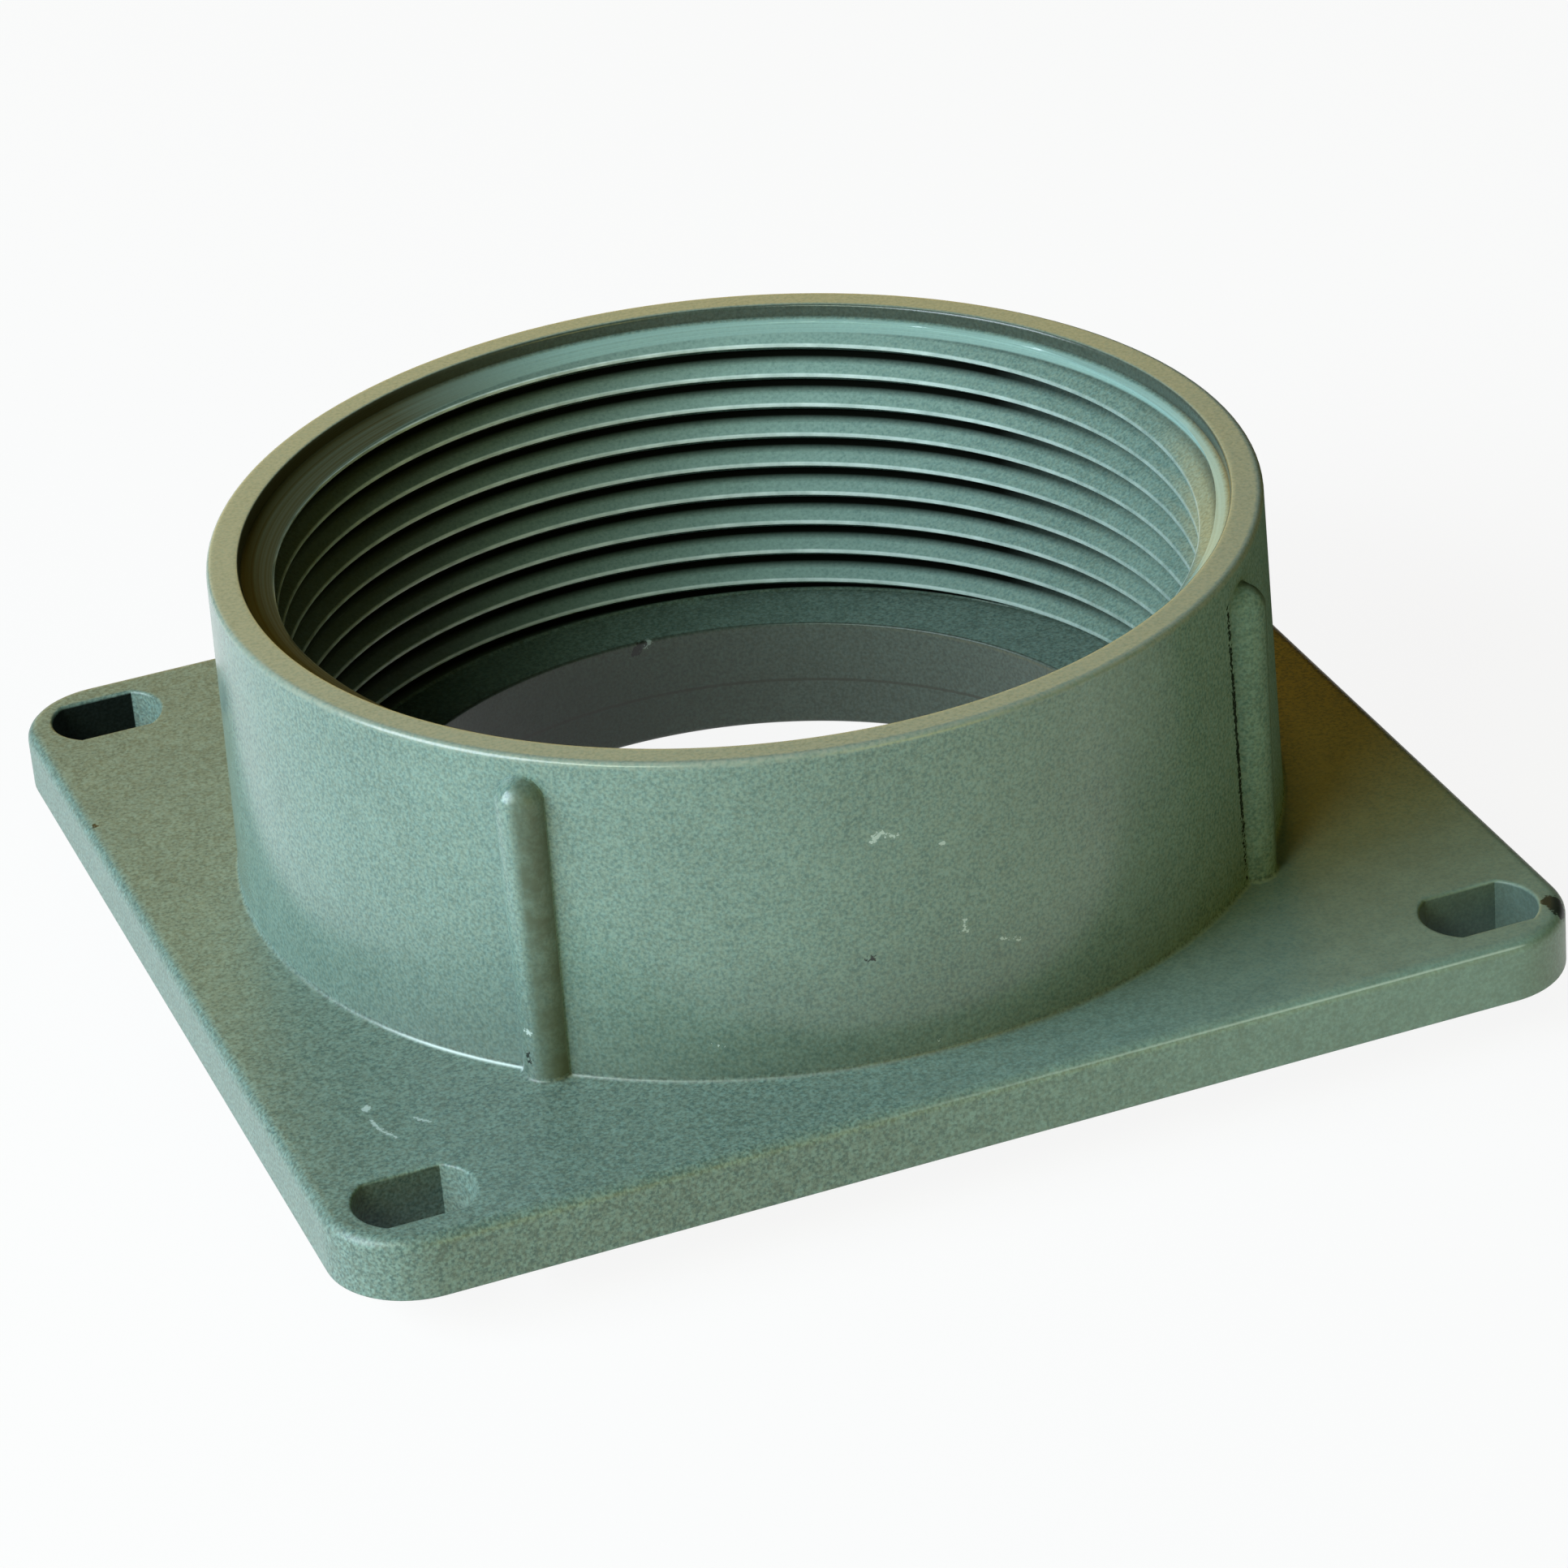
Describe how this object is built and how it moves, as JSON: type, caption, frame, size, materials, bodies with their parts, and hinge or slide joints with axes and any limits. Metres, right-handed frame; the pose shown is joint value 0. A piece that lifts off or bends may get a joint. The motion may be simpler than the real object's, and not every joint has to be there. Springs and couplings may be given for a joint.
{
  "type": "threaded flange",
  "caption": "Cast square mounting flange with slotted corners, a round collar with an inside pipe thread and four ribs, and a short locating spigot below the plate.",
  "frame": {"origin": "on the bore's axis, in the plane of the plate's underside", "axes": "+Z along the bore, out of the threaded mouth; +X along the plate's longer side, the way the slots run; +Y along its shorter side"},
  "size_m": [0.1152, 0.1112, 0.0415],
  "materials": {
    "painted_casting": "satin grey-green paint on a die casting"
  },
  "bodies": {
    "root": {"threaded_flange": "painted_casting"}
  },
  "joints": []
}
